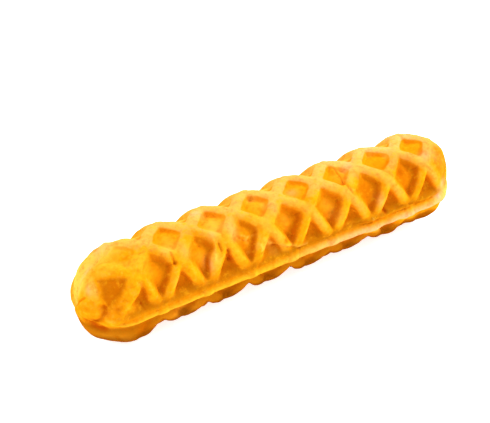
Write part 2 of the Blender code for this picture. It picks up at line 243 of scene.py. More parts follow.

# Browner (+) and paler (-) places. Some are the crust's own blotches and tones; the feet of pits
# and of the shelf, the tops and right walls of pits, the creases and the hollows under the lip are
# painted shade; the pale ridge, the tips' edges, the far side of the left tip and the tops and
# corners of crown pits are painted light and highlight.
TONES = (
    # Partly a paler tip, partly painted light.
    ("pale left tip", -72.8, 0.1, 1.8, 3.5, -0.8),
    ("amber swelling", -72.6, 1.5, 1.5, 3.0, 0.4),
    # Painted light on the far side of the left tip.
    ("pale far side of the left tip", -72.0, -1.2, 4.0, 8.0, -1.4),
    ("amber spot on the left tip", -71.2, 0.55, 1.0, 1.0, 0.35),
    # Painted shade in the seam hollow at the foot of the crease.
    ("brown foot of the crease", -71.1, 1.93, 1.4, 1.3, 0.9),
    # Painted highlight on the ridge beside the swelling.
    ("pale ridge beside the swelling", -70.1, 0.85, 0.7, 4.0, -1.0),
    # Painted shade in the crease.
    ("brown crease beside the swelling", -69.4, 1.55, 0.8, 2.4, 0.7),
    ("brown blotch right of the crease", -68.3, 1.62, 1.0, 1.7, 0.8),
    ("pale spot below the blotches", -67.4, 1.87, 1.6, 0.9, -0.35),
    ("brown blotch below the hollow", -65.4, 1.56, 1.2, 1.7, 0.7),
    # Less painted shade on the underside here.
    ("amber underside of the left end", -65.0, 2.6, 7.0, 4.0, -0.8),
    ("pale far shoulder", -64.5, -0.45, 4.0, 4.0, -0.5),
    ("amber ribs left of the lip's start", -63.5, 1.82, 2.5, 1.5, 0.3),
    ("pale far side near the left end", -62.5, -1.05, 4.0, 3.0, -0.8),
    ("amber left shoulder", -61.0, 0.65, 4.0, 2.5, 0.2),
    ("cream ribs at the left end", -60.0, 0.5, 9.0, 3.5, -0.25),
    ("amber broad rib", -60.0, 1.2, 3.5, 4.0, 0.12),
    ("amber floor of the crown pit at -58", -58.0, 0.0, 3.0, 3.0, 0.1),
    # Painted shade in the hollow under the lip.
    ("brown hollow under the lip", -57.3, 2.42, 3.2, 3.5, 0.85),
    ("brown half pit at -57", -56.5, 1.5, 2.0, 2.5, 0.3),
    ("orange edge of the faint pit", -56.3, 0.15, 2.4, 0.8, 0.5),
    ("cream band along the far shoulder", -56.0, -0.5, 5.0, 2.5, -0.5),
    ("brown foot of the first whole pit", -52.5, 1.73, 4.0, 2.0, 0.3),
    # Painted shade on the right side of the pit, away from the light.
    ("brown right side of the pit at -50", -47.5, 0.95, 2.4, 5.0, 0.4),
    ("pale rib at -45", -45.0, 1.4, 1.8, 2.6, -0.2),
    # Less painted shade on the underside here.
    ("amber underside at -45", -43.0, 2.40, 5.5, 4.0, -1.0),
    ("pale lower edge of the crown pit at -42", -42.0, 0.45, 4.0, 2.5, -0.35),
    # Painted shade on the top and right wall of the pit at -33, in these two rows.
    ("brown top of the pit at -33", -32.5, 0.5, 3.0, 3.5, 0.45),
    ("brown right wall of the pit at -33", -29.3, 0.9, 1.5, 2.5, 0.5),
    ("pale rib right of the pit at -33", -29.2, 1.25, 1.6, 3.0, -0.5),
    ("pale lower edge of the crown pit at -25", -25.0, 0.35, 4.5, 2.5, -0.4),
    ("light floor of the crown pit at -25", -25.0, 0.0, 3.0, 3.0, -0.25),
    ("brown shelf on the left", -22.0, 1.75, 28.0, 3.0, 0.30),
    ("pale rib left of the pit at -17", -20.8, 0.95, 1.8, 3.0, -0.15),
    ("brown floor of the pit at -17", -18.5, 1.15, 1.5, 2.0, 0.2),
    # Painted shade on the top of the pit at -17, in these two rows.
    ("brown top corner of the pit at -17", -17.3, 0.4, 2.0, 2.0, 0.3),
    ("brown top of the pit at -17", -15.5, 0.75, 2.6, 3.0, 0.25),
    ("crumbly patch", -9.5, 1.4, 3.0, 2.0, -0.4),
    ("pale rib at -8", -7.8, 0.75, 2.2, 2.6, -0.3),
    # Painted light on the top of the crown pit's wall, otherwise in shade.
    ("pale top of the crown pit at -8", -6.7, -0.45, 2.6, 1.8, -0.45),
    ("light shelf at -6", -6.0, 1.7, 5.0, 2.5, -0.35),
    # Painted light on the crown pit's right corner.
    ("pale right corner of the crown pit at -8", -5.2, 0.1, 1.2, 2.0, -0.3),
    # Painted shade in the foot of the pit at 0.
    ("brown foot of the pit at 0", -2.6, 1.47, 1.0, 1.0, 0.9),
    ("amber crossing at 8", 8.4, 0.98, 3.0, 2.5, 0.15),
    ("amber floor of the crown pit at 8", 8.5, 0.0, 3.5, 3.5, 0.1),
    ("pale rib at 20", 19.6, 1.4, 2.2, 2.8, -0.35),
    ("brown half pit at 25", 25.0, 1.55, 2.5, 2.5, 0.25),
    # Painted light on the crown pit's far corner.
    ("pale far corner of the crown pit at 25", 27.9, -0.42, 1.6, 1.5, -0.6),
    ("pale rib at 28", 28.0, 0.45, 1.8, 2.5, -0.5),
    ("pale rib at 30", 30.4, -0.15, 1.6, 1.6, -0.3),
    # Painted shade at the top corner and foot of the pit at 33 and the foot of the shelf, in these
    # three rows.
    ("brown top corner of the pit at 33", 31.6, 0.5, 1.6, 2.0, 0.45),
    ("brown foot of the shelf at 33", 33.0, 1.93, 5.0, 0.8, 0.5),
    ("brown foot of the pit at 33", 33.6, 1.62, 1.2, 2.0, 0.9),
    ("brown floor of the pit at 33", 34.0, 1.08, 4.0, 5.0, 0.9),
    ("pale rib at 37", 36.9, 1.40, 1.5, 2.5, -0.45),
    # Less painted shade in the hollow under the lip.
    ("light hollow under the lip at 39", 38.9, 2.25, 3.0, 2.0, -0.9),
    ("brown half pit at 42", 42.0, 1.6, 3.0, 2.5, 0.35),
    ("amber floor of the crown pit at 42", 42.5, 0.1, 3.0, 3.5, 0.3),
    # Painted light on the top and right corner of the crown pit at 42, in these two rows.
    ("pale top of the crown pit at 42", 43.6, -0.42, 3.0, 1.2, -0.3),
    ("pale right corner of the crown pit at 42", 47.0, -0.05, 1.4, 2.2, -0.35),
    ("amber ribs near the right end", 48.0, 0.4, 7.0, 2.0, 0.12),
    ("brown left wall of the pit at 50", 48.3, 0.9, 1.5, 3.0, 0.4),
    # Painted shade in the foot of the pit at 50.
    ("brown foot of the pit at 50", 50.9, 1.5, 1.5, 1.5, 0.6),
    ("brown floor of the pit at 50", 51.0, 1.0, 4.0, 5.0, 0.9),
    ("brown half pit at 58", 58.0, 1.55, 2.5, 2.5, 0.3),
    ("amber floor of the crown pit at 58", 58.5, 0.0, 3.5, 3.5, 0.2),
    # Painted highlight on the right tip's edge and lip, in these two rows.
    ("pale edge of the right tip", 66.0, 1.80, 3.2, 2.4, -0.4),
    ("pale lip at the right end", 66.0, 2.0, 6.0, 1.8, -0.5),
)

# Creamier places: partly the crust's own cream, partly painted highlight on ridges, edges and the
# far side, where the light falls.
CREAM_AND_HIGHLIGHT_PLACES = (
    ("far side of the left tip", -71.3, -0.80, 2.5, 4.0, 0.75),
    ("ridge beside the swelling", -71.2, 0.83, 0.9, 3.0, 0.3),
    ("far shoulder of the left end", -62.0, -1.05, 3.0, 3.5, 0.65),
    ("rib left of the crown pit at -42", -44.5, 0.50, 2.0, 2.0, 0.12),
    ("rib at -39", -38.7, 0.78, 1.8, 2.5, 0.12),
    ("right wall of the pit at -33", -31.6, 1.35, 1.5, 2.5, 0.2),
    ("far rib at -28", -28.0, -0.58, 2.0, 2.0, 0.3),
    ("rib at -27", -27.4, 0.56, 2.0, 2.0, 0.2),
    ("rib at -21", -20.6, 0.65, 2.0, 3.5, 0.2),
    ("rib at -4", -3.9, 0.50, 2.0, 2.5, 0.12),
    ("floor of the crown pit at 8", 6.5, 0.02, 2.0, 1.6, 0.15),
    ("rib at 30", 30.4, -0.15, 2.0, 1.6, 0.3),
    ("rib at 37", 36.9, 1.40, 1.5, 2.5, 0.2),
    ("rib at 60", 60.0, 0.69, 2.5, 2.0, 0.3),
    ("lip at the right tip", 64.0, 1.97, 2.0, 1.2, 0.6),
    ("left of the shallow pit at 67", 64.5, 0.80, 1.5, 2.0, 0.3),
    ("edge of the right tip", 65.8, 1.78, 2.0, 2.8, 0.9),
    ("right tip", 72.5, 1.2, 2.5, 6.0, 0.15),
)

# Where the right tip's crust is a duller amber: x, place round, reach along x, reach across.
FADED = (66.8, 1.0, 4.5, 6.5)

# Cracks and pores (+) and torn ridges (-): half width, depth, and a line's places (x, round).
# Cracks and pores are darkened with painted shade, the more the deeper they go.
SCARS = (
    (0.38, 0.4, ((-43.3, 0.65), (-43.4, 1.02))),
    (0.70, 0.8, ((-43.4, 1.04),)),
    (0.35, 0.3, ((-53.0, 0.28), (-51.0, 0.24))),
    (0.60, 0.6, ((-56.9, 1.69),)),
    (0.30, 0.25, ((-57.0, 1.60), (-56.3, 1.79))),
    (0.70, 0.3, ((-66.9, 1.54),)),
    (0.80, 0.2, ((-65.3, 1.58),)),
    (1.25, 0.9, ((-72.2, 2.07), (-71.4, 2.20), (-69.7, 2.24))),
    (0.70, 0.5, ((-71.4, 2.04), (-70.0, 2.12))),
    (0.60, 0.5, ((-69.3, 1.68), (-69.9, 1.84), (-71.2, 1.93))),
    (0.90, 0.25, ((-68.8, 1.50), (-68.4, 1.70))),
    (0.40, 0.3, ((-32.9, 0.77),)),
    (0.45, 0.5, ((-27.1, 0.98), (-26.8, 1.14))),
    (0.50, 0.9, ((-24.4, 1.17), (-23.6, 1.50))),
    (0.35, 0.3, ((-19.4, 0.97), (-17.5, 1.13), (-15.5, 1.20))),
    (0.50, 0.6, ((-12.6, 1.54),)),
    (0.30, 0.2, ((-7.9, -0.44), (-7.0, -0.50))),
    (0.60, 0.3, ((10.5, 1.73),)),
    (0.28, 0.4, ((26.4, -0.39), (26.6, 0.13), (25.6, 0.56), (25.7, 0.81), (26.5, 1.01))),
    (0.30, 0.3, ((21.5, 1.76), (25.3, 1.78), (29.3, 1.81), (32.7, 1.86))),
    (0.65, 0.9, ((39.0, 1.72), (39.6, 1.80))),
    (0.30, 0.25, ((41.8, 0.69), (42.9, 0.79), (43.9, 0.99))),
    (0.30, 0.3, ((44.0, 1.78), (47.0, 1.78))),
    (0.35, 0.35, ((49.5, 1.79), (55.0, 1.90))),
    (0.35, 0.3, ((58.0, 1.02), (60.0, 1.16))),
    (0.35, 0.3, ((60.3, 1.88),)),
    # A shallow line at the shelf's foot by the lip, darkened with painted shade.
    (0.22, 0.2, ((30.0, 1.90), (36.0, 1.915), (62.0, 1.905))),
    (0.35, -0.2, ((-68.4, 1.35), (-68.0, 1.62))),
    (0.50, -0.25, ((-28.1, 0.80), (-28.4, 1.00), (-29.7, 1.26))),
    (0.30, -0.15, ((-18.0, 0.98), (-15.0, 1.12), (-12.9, 1.10))),
    (0.50, -0.45, ((-8.5, 1.43), (-4.1, 1.54), (0.3, 1.68), (3.3, 1.76), (6.0, 1.78))),
    # A groove under the torn ridge, darkened as its painted shadow.
    (0.35, 0.40, ((-8.0, 1.52), (-3.8, 1.58), (0.5, 1.73), (3.0, 1.83))),
    (0.28, -0.35, ((-18.6, 1.08), (-16.5, 1.15))),
    (0.28, -0.35, ((-15.0, 1.20), (-13.2, 1.28))),
    (0.40, -0.30, ((-12.6, 1.32), (-12.2, 1.46))),
    (0.40, -0.25, ((33.2, 1.70), (34.3, 1.92))),
)

# --------------------------------------------------
# The grid.

STEPS = 22                # to half a pitch, and to a lattice row
FINE_FROM, FINEST_FROM = 1.76, 1.90   # rows from which the steps are halved, and cut in three
LAST_ROW_CLEAR = 0.1      # how much of a step the last row keeps from the parting plane
LAST_COLUMN = 8           # half pitches from the middle to the sections of the ends
END_SECTIONS = 34
ARC_SAMPLES = 1200        # points along the section's curve

# --------------------------------------------------
# Camera, floor and light.

# Degrees, millimetres (the aim is x and y), and pixels of the photograph.
CAMERA_AZIMUTH, CAMERA_ELEVATION, CAMERA_ROLL = -33.99, 45.74, 5.09
CAMERA_DISTANCE = 364.15
CAMERA_AIM = (-3.6, 12.25)
FOCAL_PIXELS = 1014.31
IMAGE_WIDTH = 490
SENSOR = 36.0
CLIP_START = 0.01
PARTING_HEIGHT = LOWER_HEIGHT - REST_CUT

FLOOR_REACH = 3.0
SKY, SKY_STRENGTH = (1.0, 0.98, 0.95, 1.0), 0.86
# Place, side and power of each lamp.
LAMPS = {
    "key": ((0.75, -0.05, 0.60), 0.35, 9.0),
    "fill": ((-0.60, 0.60, 0.45), 0.50, 3.5),
}


def smoothstep(low, high, value):
    """Zero below low, one above high, and smooth between."""
    part = np.clip((value - low) / (high - low), 0.0, 1.0)
    return part * part * (3.0 - 2.0 * part)


def blend(start, end, part):
    return start + (end - start) * part


def bump(value, half):
    """One at zero, falling smoothly to nothing past half."""
    return np.exp(-((value / half) ** 2))


def by_row(values, row):
    return np.interp(row, (0.0, 1.0, 2.0), values)


def soft_min(a, b, radius):
    """The smaller of two distances, rounded over radius where they are alike."""
    return -radius * np.log(np.exp(-a / radius) + np.exp(-b / radius))


def lumps(points, wavelength, seed=0.0):
    """Smooth noise of about -1 to 1, read at each point in millimetres."""
    places = points.reshape(-1, 3) / wavelength + seed * np.array(SEED_STEP)
    return np.array([noise.noise(place) for place in places.tolist()]).reshape(points.shape[:-1])


# --------------------------------------------------
# The surface.


class Half:
    """One half of the section, from the crown line to the parting plane, read by lattice row."""

    def __init__(self, up, height, flare, cross, pit_depth, pits_end):
        wall = HALF_WIDTH - LIP_OUT - flare
        turn = np.linspace(0.0, math.pi / 2, ARC_SAMPLES)
        self.rise = height * np.cos(turn) ** (2 / SQUARENESS)
        self.rise[-1] = 0.0
        part = np.sin(turn) ** (2 / SQUARENESS)
        self.across = part * (wall + flare * np.exp(-self.rise / FLARE_RISE))
        steps = np.hypot(np.diff(self.across), np.diff(self.rise))
        self.arc = np.concatenate([[0.0], np.cumsum(steps)])
        self.rows_arc = (0.0, float(np.interp(cross, self.across, self.arc)), float(self.arc[-1]))
        self.up = up
        self.pit_depth = pit_depth
        self.pits_end = pits_end

    def arc_of_row(self, row):
        return by_row(self.rows_arc, row)

    def row_of_arc(self, arc):
        return np.interp(arc, self.rows_arc, (0.0, 1.0, 2.0))

    def point(self, row):
        """Distance from the centre line and height above or below the parting plane."""
        arc = self.arc_of_row(row)
        return np.interp(arc, self.arc, self.across), np.interp(arc, self.arc, self.rise)

    def rib_spacing(self, row):
        """Half the distance between neighbouring ribs of one family, measured square to them."""
        top, cross, parting = self.rows_arc
        tall = np.where(row < 1.0, cross - top, parting - cross)
        return (PITCH / 2) * tall / np.hypot(PITCH / 2, tall)


UPPER = Half(1, UPPER_HEIGHT, FLARE_UPPER, CROSS_UPPER, PIT_DEPTH_UPPER, PITS_END_UPPER)
LOWER = Half(-1, LOWER_HEIGHT, FLARE_LOWER, CROSS_LOWER, PIT_DEPTH_LOWER, PITS_END_LOWER)
TIP = LENGTH / 2 - LIP_OUT
STRAIGHT = TIP - END_LENGTH


def distance_round(place):
    """How far a place round the section lies from the crown line, in millimetres."""
    place = np.asarray(place, float)
    away = np.abs(place)
    above = UPPER.arc_of_row(np.minimum(away, 2.0))
    below = (LOWER.arc[-1] - LOWER.arc_of_row(4.0 - away)) * (away > 2.0)
    return np.sign(place) * (above + below)


def on_skin(line):
    """The places (x, round) of a line as distances along x and round the section."""
    return [(x, float(distance_round(place))) for x, place in line]


def stations():
    """The places of the sections along x: even lattice steps, then sections round each end."""
    step = PITCH / 2 / STEPS
    last = LAST_COLUMN * STEPS
    middle = np.arange(-last, last + 1) * step
    start = math.asin((middle[-1] - STRAIGHT) / END_LENGTH)
    turns = np.linspace(start, math.pi / 2, END_SECTIONS + 1)[1:-1]
    end = STRAIGHT + END_LENGTH * np.sin(turns)
    return np.concatenate([-end[::-1], middle, end])


def half_rows():
    """Lattice rows from the crown line to just short of the parting plane, finer by the lip."""
    rows = []
    row = 0.0
    while row < 2.0 - LAST_ROW_CLEAR / STEPS:
        rows.append(row)
        finer = 1 if row < FINE_FROM else 2 if row < FINEST_FROM else 3
        row += 1.0 / STEPS / finer
    return np.array(rows)


class Skin:
    """The grid of the surface: sections along x, and places round them from the crown line on."""

    def __init__(self):
        self.x = stations()
        rows = half_rows()
        near_up = [(row, -1, 1) for row in rows] + [(2.0, -1, 1)]
        near_down = [(row, -1, -1) for row in rows[::-1]]
        far_down = [(row, 1, -1) for row in rows[1:]] + [(2.0, 1, 1)]
        far_up = [(row, 1, 1) for row in rows[:0:-1]]
        places = np.array(near_up + near_down + far_down + far_up)
        self.row, self.side, self.up = places.T
        self.round = distance_round(-self.side * np.where(self.up > 0, self.row, 4.0 - self.row))
        self.shape = (len(self.x), len(places))

    def form(self):
        """The smooth form's points and outward normals, as grids."""
        into_end = np.clip((np.abs(self.x) - STRAIGHT) / END_LENGTH, 0.0, 1.0)
        narrow = np.sqrt(1.0 - into_end**2)
        low = (1.0 - into_end**SQUARENESS) ** (1 / SQUARENESS)
        across, rise = np.where(self.up > 0, UPPER.point(self.row), LOWER.point(self.row))
        points = np.empty((*self.shape, 3))
        points[..., 0] = self.x[:, None]
        points[..., 1] = narrow[:, None] * (self.side * across)
        points[..., 2] = low[:, None] * (self.up * rise)
        along = np.gradient(points, axis=0)
        around = np.roll(points, -1, axis=1) - np.roll(points, 1, axis=1)
        normals = np.cross(around, along)
        normals /= np.linalg.norm(normals, axis=2, keepdims=True)
        return points, normals

    def patch(self, x, place, reach_x, reach_across):
        """One at a place of the surface, falling smoothly to nothing past its reach."""
        along = bump(self.x - x, reach_x)[:, None]
        return along * bump(self.round - distance_round(place), reach_across)

    def patches(self, rows):
        """The sum of a table's patches, each as much as the last value of its row says."""
        return sum(amount * self.patch(*patch) for _, *patch, amount in rows)

    def wall(self, fill, along, across):
        """How much a place lies on the wall that rises from a pit's floor in one direction."""
        before = 1.0 - SHADE_PAST_WALL
        off_rib = self.shifted(fill, -SHADE_PAST_WALL * along, -SHADE_PAST_WALL * across)
        return off_rib * (1.0 - self.shifted(fill, before * along, before * across))

    def shifted(self, values, along, across):
        """The values found a little further along x and a little nearer the far side."""
        ahead = np.array([np.interp(self.x + along, self.x, line) for line in values.T]).T
        order = np.argsort(self.round)
        back = self.round - across
        return np.array([np.interp(back, self.round[order], line[order]) for line in ahead])

    def inside(self, corners, soft, ragged):
        """One inside a hollow whose corners are at places, and nothing past its ragged edges."""
        x, around = self.x[:, None] + ragged[0], self.round + ragged[1]
        knots = on_skin(corners)
        deep = np.full(self.shape, np.inf)
        for (x0, r0), (x1, r1) in zip(knots, knots[1:] + knots[:1]):
            length = math.hypot(x1 - x0, r1 - r0)
            deep = np.minimum(deep, ((around - r0) * (x1 - x0) - (x - x0) * (r1 - r0)) / length)
        return smoothstep(-soft, soft, deep)

    def off_line(self, line, ragged):
        """Distance from a line of places, whose edges are ragged."""
        x, around = self.x[:, None] + ragged[0], self.round + ragged[1]
        knots = on_skin(line)
        if len(knots) == 1:
            return np.hypot(x - knots[0][0], around - knots[0][1])
        away = np.full(self.shape, np.inf)
        for (x0, r0), (x1, r1) in zip(knots, knots[1:]):
            length = math.hypot(x1 - x0, r1 - r0)
            along = ((x - x0) * (x1 - x0) + (around - r0) * (r1 - r0)) / length**2
            along = np.clip(along, 0.0, 1.0)
            off = np.hypot(x - x0 - along * (x1 - x0), around - r0 - along * (r1 - r0))
            away = np.minimum(away, off)
        return away


class Lattice:
    """The ribs and pits at each place of the skin.

    fill is zero on the ribs and one on the pits' floors, crown is how far up a rib's crown a place
    is, crest the same for the ribs that run down towards the right end alone, centre how near the
    middle of a pit's floor it is, and depth how deep its pit is.
    """

    def __init__(self, skin, points):
        self.fill, self.crown, self.crest, self.centre, self.depth = (
            np.empty(skin.shape) for _ in range(5)
        )
        along, across = (
            sum(height * lumps(points, wavelength, seed) for wavelength, height in WANDER)
            for seed in WANDER_SEEDS
        )
        along = along - skin.patches(PUSHED)
        for half in (UPPER, LOWER):
            self.press(skin, half, along, across)
        self.run_out(skin)

    def press(self, skin, half, along, across):
        """Presses one half of the mould, whose ribs wander along and across."""
        mine = skin.up == half.up
        side = skin.side[mine]
        row = half.row_of_arc(half.arc_of_row(skin.row[mine]) + across[:, mine])
        column = (skin.x[:, None] + along[:, mine]) / (PITCH / 2)
        spacing = half.rib_spacing(row)
        falling = column - side * row
        climbing = column + side * row
        off_falling = np.abs((falling + 1.0) % 2.0 - 1.0) * spacing
        off_climbing = np.abs((climbing + 1.0) % 2.0 - 1.0) * spacing
        off = soft_min(off_falling, off_climbing, CORNER)
        off_crest = np.where(side < 0, off_climbing, off_falling)
        pit_column = np.floor(falling / 2) + np.floor(climbing / 2) + 1
        pit_row = np.floor(climbing / 2) - np.floor(falling / 2)
        middle = by_row(RIB_HALF, row)
        if half.up > 0:
            middle = middle - by_row(HALF_PITS_WIDER, row) * (np.abs(pit_row) == 2)
        top, foot = middle - WALL / 2, middle + WALL / 2
        self.fill[:, mine] = smoothstep(top, foot, off)
        self.crown[:, mine] = 1.0 - np.clip(off / top, 0.0, 1.0) ** 2
        self.crest[:, mine] = 1.0 - np.clip(off_crest / middle, 0.0, 1.0) ** 2
        self.centre[:, mine] = smoothstep(0.0, 1.0, (off - foot) / (spacing - foot))
        self.depth[:, mine] = by_row(half.pit_depth, row) * pit_depths(pit_column, pit_row, half)
        self.depth[:, mine] *= 1.0 - smoothstep(*half.pits_end, row)

    def run_out(self, skin):
        """Lets the lattice die away at the ends, and fills pits in."""
        for (up, end), reach in LATTICE_ENDS.items():
            there = (skin.up == up)[None, :] & (np.sign(skin.x) == end)[:, None]
            fade = 1.0 - smoothstep(*reach, np.abs(skin.x))[:, None]
            kept = np.where(there, fade, 1.0)
            self.depth *= kept
            self.crown *= kept
        for _, *patch, amount in FILLED:
            self.depth *= 1.0 - amount * skin.patch(*patch)


def pit_depths(pit_column, pit_row, half):
    """How deep each pit is, beside an even one. Rows of the near side are negative."""
    factors = np.ones(pit_column.shape)
    columns, rows = (each.ravel().astype(int).tolist() for each in (pit_column, pit_row))
    for pit in set(zip(columns, rows)):
        chance = noise.cell(Vector((*pit, half.up)))
        factor = 1.0 + PIT_EVENNESS * (2.0 * chance - 1.0)
        if half.up > 0:
            factor *= UNEVEN_PITS.get(pit, 1.0)
        factors[(pit_column == pit[0]) & (pit_row == pit[1])] = factor
    return factors


def lip_and_groove(skin, height):
    """How far the lip stands out, as a part of its full height, and the groove above it."""
    grown = smoothstep(*LIP_GROWS, skin.x)[:, None]
    half = LIP_HALF_LEFT + (LIP_HALF_RIGHT - LIP_HALF_LEFT) * grown
    height = height + np.interp(skin.x, LIP_X, LIP_DROP)[:, None]
    lip = np.exp(-((np.abs(height) / half) ** LIP_SQUARE))
    kept = smoothstep(*LIP_LOST, skin.x)[:, None]
    lip *= np.where(skin.side < 0, kept, 1.0)
    along = smoothstep(*GROOVE_STARTS, skin.x) * (1.0 - smoothstep(*GROOVE_ENDS, skin.x))
    return lip, along[:, None] * bump(height - GROOVE_HEIGHT, GROOVE_HALF)


def scars(skin, ragged):
    """How deep cracks and pores go, how dark they are, and how pale torn ridges are."""
    sunk, dark, pale = (np.zeros(skin.shape) for _ in range(3))
    for half_width, depth, line in SCARS:
        near = bump(skin.off_line(line, ragged), half_width)
        sunk += depth * near
        if depth > 0.0:
            np.maximum(dark, near * min(depth / FULLY_DARK, 1.0), out=dark)
        else:
            np.maximum(pale, near, out=pale)
    return sunk, dark, pale


class Crust:
    """The stick's surface with its relief, and the marks that its colours read."""

    def __init__(self):
        self.skin = Skin()
        self.form, normals = self.skin.form()
        self.height = self.form[..., 2]
        self.lattice = Lattice(self.skin, self.form)
        self.lip, self.groove = lip_and_groove(self.skin, self.height)
        wavelength, reach = RAGGED
        ragged = [reach * lumps(self.form, wavelength, seed) for seed in RAGGED_SEEDS]
        self.sunk, self.dark, self.torn = scars(self.skin, ragged)
        self.hollow = self.skin.inside(HOLLOW_CORNERS, HOLLOW_EDGE, ragged)
        self.flaky = self.skin.patch(*FLAKY)
        self.points = self.form + normals * self.relief()[..., None]

    def relief(self):
        """How far the surface stands out from the smooth form."""
        lattice = self.lattice
        relief = LIP_OUT * self.lip - GROOVE * self.groove - self.sunk - HOLLOW_DEPTH * self.hollow
        pits = (PILLOW * lattice.centre - lattice.depth) * lattice.fill
        relief += RIB_CROWN * lattice.crown + pits
        clear = smoothstep(0.0, SWELL_CLEAR, np.abs(self.height))
        relief += SWELL * lumps(self.form, SWELL_WAVELENGTH) * clear
        relief += self.skin.patches(SWELLINGS)
        for seed, (wavelength, rise) in enumerate(SKIN):
            rough = rise * (1.0 + FLAKY_ROUGH * self.flaky)
            relief += rough * lumps(self.form, wavelength, SKIN_SEED + seed)
        return relief

    def wall_shade(self, far):
        """How much painted shade falls on the walls of the pits."""
        row = self.skin.row
        crown_wall, flank_wall, lower_wall = (
            self.skin.wall(self.lattice.fill, *reach)
            for reach in (UPPER_WALL_CROWN, UPPER_WALL_FLANK, LOWER_WALL)
        )
        upper_wall = blend(crown_wall, flank_wall, smoothstep(*FLANK_ROWS, row))
        shade = by_row(SHADE_UPPER_WALL, row) * upper_wall
        shade += by_row(SHADE_LOWER_WALL, row) * lower_wall
        return shade * blend(1.0, SHADE_FAR, far)

    def tone(self, shade):
        """How much browner (+) or paler (-) a place is than the lattice alone makes it.

        Partly the crust's own tone, partly painted shade in hollows, creases and feet and painted
        highlight on ridges and edges.
        """
        tone = HOLLOW_BROWN * self.hollow + self.skin.patches(TONES)
        tone += FLAKY_BLOTCHY * self.flaky * lumps(self.points, BLOTCH_WAVELENGTH, BLOTCH_SEED)
        tone += GROOVE_SHADE * self.groove - TORN_PALENESS * self.torn
        pillows = (1.0 - smoothstep(*PILLOW_ROWS, self.skin.row)) * (self.skin.up > 0)
        tone -= PILLOW_PALENESS * self.lattice.centre * self.lattice.fill * pillows
        paler = tone * (1.0 - np.clip(shade, 0.0, 1.0))
        return np.where(tone < 0.0, paler, tone * (1.0 - LIP_CLEAR * self.lip))

    def marks(self):
        """What the colours read, by name."""
        skin, lattice, lip = self.skin, self.lattice, self.lip
        upper = skin.up > 0
        # The far side's pits, painted lighter as where the light falls on them.
        far = np.where((skin.side > 0) & upper, smoothstep(*FAR_ROWS, skin.row), 0.0)
        shade = self.wall_shade(far)
        deep = np.clip(lattice.depth / PIT_DEPTH_UPPER[0], 0.0, 1.0)
        floors = lattice.fill * deep
        # Painted shade on the sides of the ribs, which takes the pits' amber.
        sides = RIB_SIDES_SHADE * (1.0 - lattice.crown) * smoothstep(*SIDE_ROWS, skin.row)
        # A painted highlight along the crests of the flank ribs that face the light.
        crests = lattice.crest * (1.0 - lattice.fill) * upper
        kept = 1.0 - smoothstep(*CREST_ENDS, skin.row)
        crests *= smoothstep(*CRESTS_LIT, skin.x)[:, None] * kept
        # The band of painted shade above the lip.
        shelf = bump(self.height - SHELF_HEIGHT, SHELF_HALF)
        shelf *= smoothstep(*SHELF_STARTS, skin.x)[:, None]
        # Painted shade of the lower half.
        under_starts = np.interp(skin.x, UNDER_X, UNDER_STARTS)[:, None]
        return {
            "pit": np.maximum(floors, sides) * (1.0 - far),
            "far": lattice.fill * far,
            # Creamier places, partly painted highlight.
            "cream": skin.patches(CREAM_AND_HIGHLIGHT_PLACES),
            "faded": skin.patch(*FADED),
            # Painted shade on the walls that face away from the light.
            "shade": shade * deep * upper,
            # Painted shade on the pits' floors, more of it down the flank.
            "low": floors * np.interp(skin.row, FLOOR_ROWS, FLOOR_SHADE) * upper,
            "crest": crests,
            "lip": lip,
            "shelf": shelf * (1.0 - LIP_CLEAR * lip),
            "under": smoothstep(0.0, UNDER_SOFT, under_starts - self.height),
            "bottom_shade": smoothstep(*BOTTOM_DARK, self.height),
            # Browner and paler places, partly painted shade and highlight.
            "tone": self.tone(shade),
            # Painted shade in cracks and pores.
            "scar": self.dark,
        }

    def mesh(self):
        """The surface closed at both tips and set down over the middle of the solid."""
        tip = TIP + LIP_OUT
        places = np.concatenate([self.points.reshape(-1, 3), [(-tip, 0.0, 0.0), (tip, 0.0, 0.0)]])
        places[:, 2] = np.maximum(places[:, 2], -PARTING_HEIGHT) + PARTING_HEIGHT
        low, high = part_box(NODE)
        shift = (low + high) / (2 * MM) - Vector((places.min(axis=0) + places.max(axis=0)) / 2)
        places[:, :2] += (shift.x, shift.y)
        mesh = bpy.data.meshes.new("crust")
        mesh.from_pydata((places * MM).tolist(), [], triangles(self.skin))
        mesh.update()
        for name, values in self.marks().items():
            attribute = mesh.attributes.new(name, "FLOAT", "POINT")
            with_tips = np.concatenate([values.ravel(), values[[0, -1], 0]])
            attribute.data.foreach_set("value", with_tips.astype(np.float32))
        mesh.shade_smooth()
        return mesh


def triangles(skin):
    """The grid's triangles, whose long sides run the way the ribs do, and a fan round each tip."""
    along, count = skin.shape
    i, j = np.meshgrid(np.arange(along - 1), np.arange(count), indexing="ij")
    k = (j + 1) % count
    a, b, c, d = i * count + j, (i + 1) * count + j, (i + 1) * count + k, i * count + k
    column = np.floor((skin.x[i] + skin.x[i + 1]) / PITCH)
    row = np.floor((skin.row[j] + skin.row[k]) / 2)
    outward = skin.row[j] < skin.row[k]
    rising = (((column + row) % 2 == 0) == outward)[..., None]
    first = np.where(rising, np.stack([a, c, b], -1), np.stack([a, d, b], -1))
    second = np.where(rising, np.stack([a, d, c], -1), np.stack([b, d, c], -1))
    fans = []
    for tip, section in ((along * count, 0), (along * count + 1, along - 1)):
        ring = [section * count + j for j in range(count)]
        turned = ring[1:] + ring[:1]
        fans += [(tip, q, p) if section == 0 else (tip, p, q) for p, q in zip(ring, turned)]
    return first.reshape(-1, 3).tolist() + second.reshape(-1, 3).tolist() + fans


# --------------------------------------------------
# Materials.


